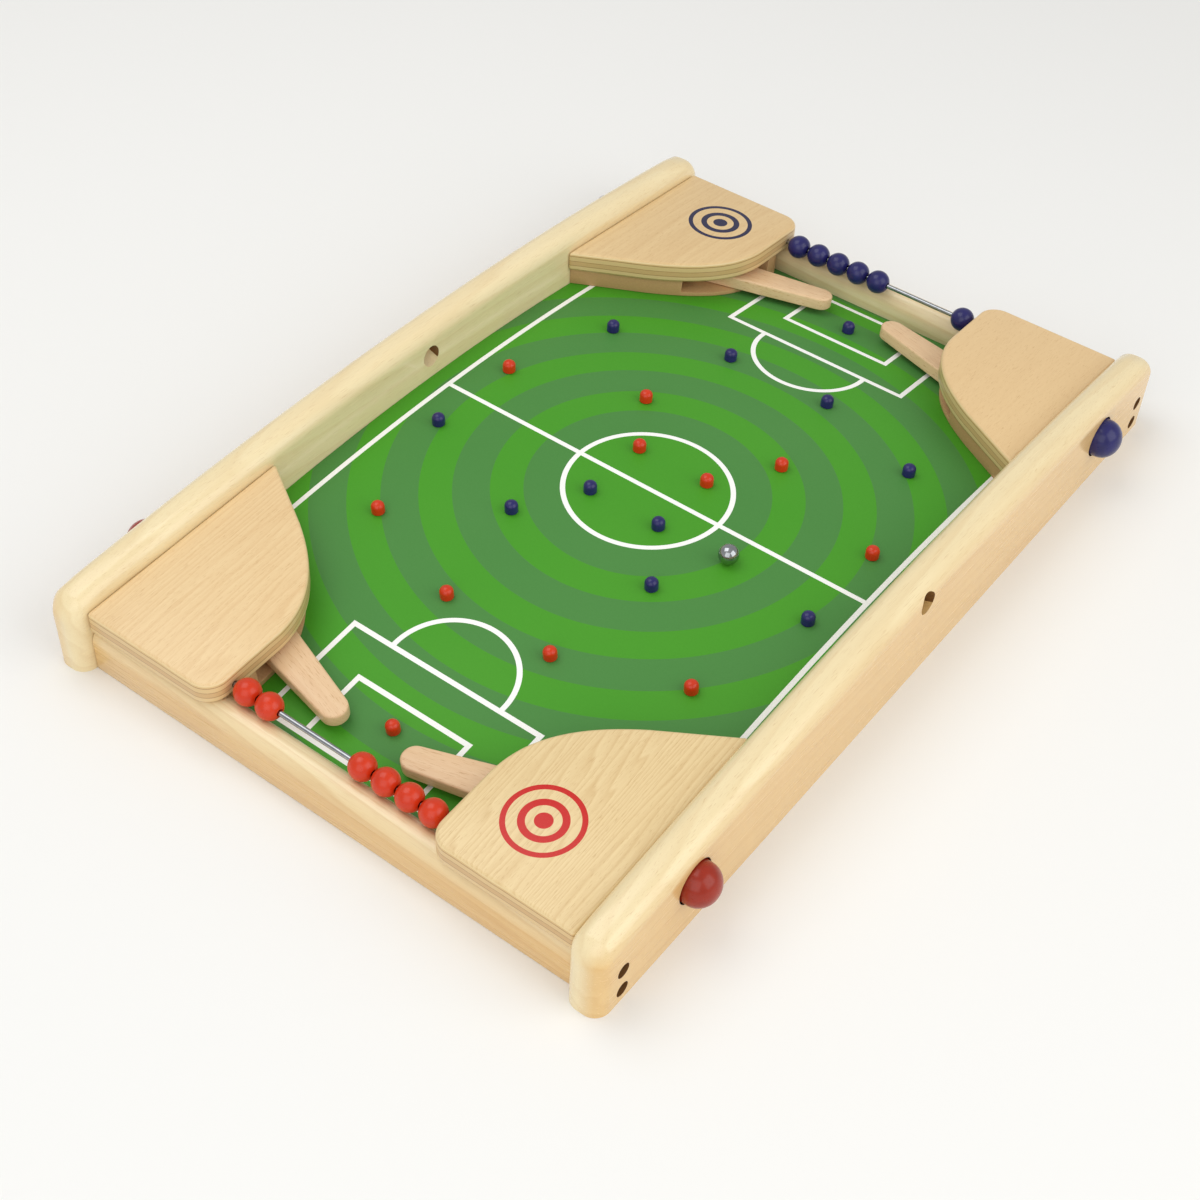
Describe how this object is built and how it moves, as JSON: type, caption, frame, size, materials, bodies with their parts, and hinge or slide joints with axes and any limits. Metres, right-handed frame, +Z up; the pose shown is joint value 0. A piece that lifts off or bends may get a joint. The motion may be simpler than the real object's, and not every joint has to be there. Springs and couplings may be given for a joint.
{
  "type": "tabletop flipper football game",
  "caption": "Wooden tabletop football game: arched pitch with player pegs, side rails with domed push buttons that swing corner flippers, and sliding score beads on end rods.",
  "frame": {"origin": "on the table plane, under the middle of the pitch", "axes": "+X towards the right-hand rail, +Y along the pitch towards the blue player's end, +Z up"},
  "size_m": [0.397, 0.574, 0.065],
  "materials": {
    "rail_wood": "clear satin lacquer on pale wood",
    "plywood": "clear satin lacquer on veneered plywood",
    "fibreboard": "sealed brown board",
    "flipper_wood": "clear satin lacquer on beech",
    "pitch_print": "printed hardboard, satin",
    "red_paint": "gloss red paint on wood",
    "blue_paint": "gloss dark blue paint on wood",
    "steel": "polished steel"
  },
  "bodies": {
    "frame": {"side_rail_right": "rail_wood", "side_rail_left": "rail_wood", "pitch_support_right": "rail_wood", "pitch_support_left": "rail_wood", "pitch_panel": "pitch_print", "end_rail_red": "rail_wood", "score_rod_red": "steel", "corner_plate_red_left": "plywood", "corner_block_red_left": "fibreboard", "corner_plate_red_right": "plywood", "corner_block_red_right": "fibreboard", "peg_red_1": "red_paint", "peg_red_2": "red_paint", "peg_red_3": "red_paint", "peg_red_4": "red_paint", "peg_red_5": "red_paint", "peg_red_6": "red_paint", "peg_red_7": "red_paint", "peg_red_8": "red_paint", "peg_red_9": "red_paint", "peg_red_10": "red_paint", "peg_red_11": "red_paint", "end_rail_blue": "rail_wood", "score_rod_blue": "steel", "corner_plate_blue_left": "plywood", "corner_block_blue_left": "fibreboard", "corner_plate_blue_right": "plywood", "corner_block_blue_right": "fibreboard", "peg_blue_1": "blue_paint", "peg_blue_2": "blue_paint", "peg_blue_3": "blue_paint", "peg_blue_4": "blue_paint", "peg_blue_5": "blue_paint", "peg_blue_6": "blue_paint", "peg_blue_7": "blue_paint", "peg_blue_8": "blue_paint", "peg_blue_9": "blue_paint", "peg_blue_10": "blue_paint", "peg_blue_11": "blue_paint"},
    "bead_red_1": {"score_bead_red_1": "red_paint"},
    "bead_red_2": {"score_bead_red_2": "red_paint"},
    "bead_red_3": {"score_bead_red_3": "red_paint"},
    "bead_red_4": {"score_bead_red_4": "red_paint"},
    "bead_red_5": {"score_bead_red_5": "red_paint"},
    "bead_red_6": {"score_bead_red_6": "red_paint"},
    "button_red_left": {"button_red_left": "red_paint"},
    "flipper_red_left": {"flipper_red_left": "flipper_wood"},
    "button_red_right": {"button_red_right": "red_paint"},
    "flipper_red_right": {"flipper_red_right": "flipper_wood"},
    "bead_blue_1": {"score_bead_blue_1": "blue_paint"},
    "bead_blue_2": {"score_bead_blue_2": "blue_paint"},
    "bead_blue_3": {"score_bead_blue_3": "blue_paint"},
    "bead_blue_4": {"score_bead_blue_4": "blue_paint"},
    "bead_blue_5": {"score_bead_blue_5": "blue_paint"},
    "bead_blue_6": {"score_bead_blue_6": "blue_paint"},
    "button_blue_left": {"button_blue_left": "blue_paint"},
    "flipper_blue_left": {"flipper_blue_left": "flipper_wood"},
    "button_blue_right": {"button_blue_right": "blue_paint"},
    "flipper_blue_right": {"flipper_blue_right": "flipper_wood"},
    "ball": {"ball": "steel"}
  },
  "joints": [
    {"name": "slide_bead_red_1", "type": "slide", "parent": "frame", "child": "bead_red_1", "axis": [1, 0, 0], "range_m": [0, 0.02408]},
    {"name": "slide_bead_red_2", "type": "slide", "parent": "bead_red_1", "child": "bead_red_2", "axis": [1, 0, 0], "range_m": [0, 0.02408]},
    {"name": "slide_bead_red_3", "type": "slide", "parent": "bead_red_4", "child": "bead_red_3", "axis": [1, 0, 0], "range_m": [-0.01204, 0]},
    {"name": "slide_bead_red_4", "type": "slide", "parent": "bead_red_5", "child": "bead_red_4", "axis": [1, 0, 0], "range_m": [-0.01204, 0]},
    {"name": "slide_bead_red_5", "type": "slide", "parent": "bead_red_6", "child": "bead_red_5", "axis": [1, 0, 0], "range_m": [-0.01204, 0]},
    {"name": "slide_bead_red_6", "type": "slide", "parent": "frame", "child": "bead_red_6", "axis": [1, 0, 0], "range_m": [-0.01204, 0]},
    {"name": "push_button_red_left", "type": "slide", "parent": "frame", "child": "button_red_left", "axis": [1, 0, 0], "range_m": [0, 0.00787], "stiffness_N_per_m": 120},
    {"name": "swing_flipper_red_left", "type": "hinge", "parent": "frame", "child": "flipper_red_left", "pos_m": [-0.118, -0.2012, 0.0226], "axis": [0, -0.1191, 0.9929], "range_deg": [-0.5, 40.5]},
    {"name": "push_button_red_right", "type": "slide", "parent": "frame", "child": "button_red_right", "axis": [-1, 0, 0], "range_m": [0, 0.00787], "stiffness_N_per_m": 120},
    {"name": "swing_flipper_red_right", "type": "hinge", "parent": "frame", "child": "flipper_red_right", "pos_m": [0.118, -0.2012, 0.0226], "axis": [0, 0.1191, -0.9929], "range_deg": [-0.5, 40.5]},
    {"name": "slide_bead_blue_1", "type": "slide", "parent": "frame", "child": "bead_blue_1", "axis": [1, 0, 0], "range_m": [0, 0.00963]},
    {"name": "slide_bead_blue_2", "type": "slide", "parent": "bead_blue_1", "child": "bead_blue_2", "axis": [1, 0, 0], "range_m": [0, 0.00963]},
    {"name": "slide_bead_blue_3", "type": "slide", "parent": "bead_blue_2", "child": "bead_blue_3", "axis": [1, 0, 0], "range_m": [0, 0.00963]},
    {"name": "slide_bead_blue_4", "type": "slide", "parent": "bead_blue_3", "child": "bead_blue_4", "axis": [1, 0, 0], "range_m": [0, 0.00963]},
    {"name": "slide_bead_blue_5", "type": "slide", "parent": "bead_blue_4", "child": "bead_blue_5", "axis": [1, 0, 0], "range_m": [0, 0.00963]},
    {"name": "slide_bead_blue_6", "type": "slide", "parent": "frame", "child": "bead_blue_6", "axis": [1, 0, 0], "range_m": [-0.04815, 0]},
    {"name": "push_button_blue_left", "type": "slide", "parent": "frame", "child": "button_blue_left", "axis": [1, 0, 0], "range_m": [0, 0.00787], "stiffness_N_per_m": 120},
    {"name": "swing_flipper_blue_left", "type": "hinge", "parent": "frame", "child": "flipper_blue_left", "pos_m": [-0.118, 0.2012, 0.0226], "axis": [0, -0.1191, -0.9929], "range_deg": [-0.5, 40.5]},
    {"name": "push_button_blue_right", "type": "slide", "parent": "frame", "child": "button_blue_right", "axis": [-1, 0, 0], "range_m": [0, 0.00787], "stiffness_N_per_m": 120},
    {"name": "swing_flipper_blue_right", "type": "hinge", "parent": "frame", "child": "flipper_blue_right", "pos_m": [0.118, 0.2012, 0.0226], "axis": [0, 0.1191, 0.9929], "range_deg": [-0.5, 40.5]},
    {"name": "lift_ball", "type": "slide", "parent": "frame", "child": "ball", "axis": [0, 0, 1], "range_m": [0, 0.06]}
  ],
  "couplings": [
    {"joint": "swing_flipper_red_left", "follows": "push_button_red_left", "rad_per_m": 88.708},
    {"joint": "swing_flipper_red_right", "follows": "push_button_red_right", "rad_per_m": 88.708},
    {"joint": "swing_flipper_blue_left", "follows": "push_button_blue_left", "rad_per_m": 88.708},
    {"joint": "swing_flipper_blue_right", "follows": "push_button_blue_right", "rad_per_m": 88.708}
  ]
}
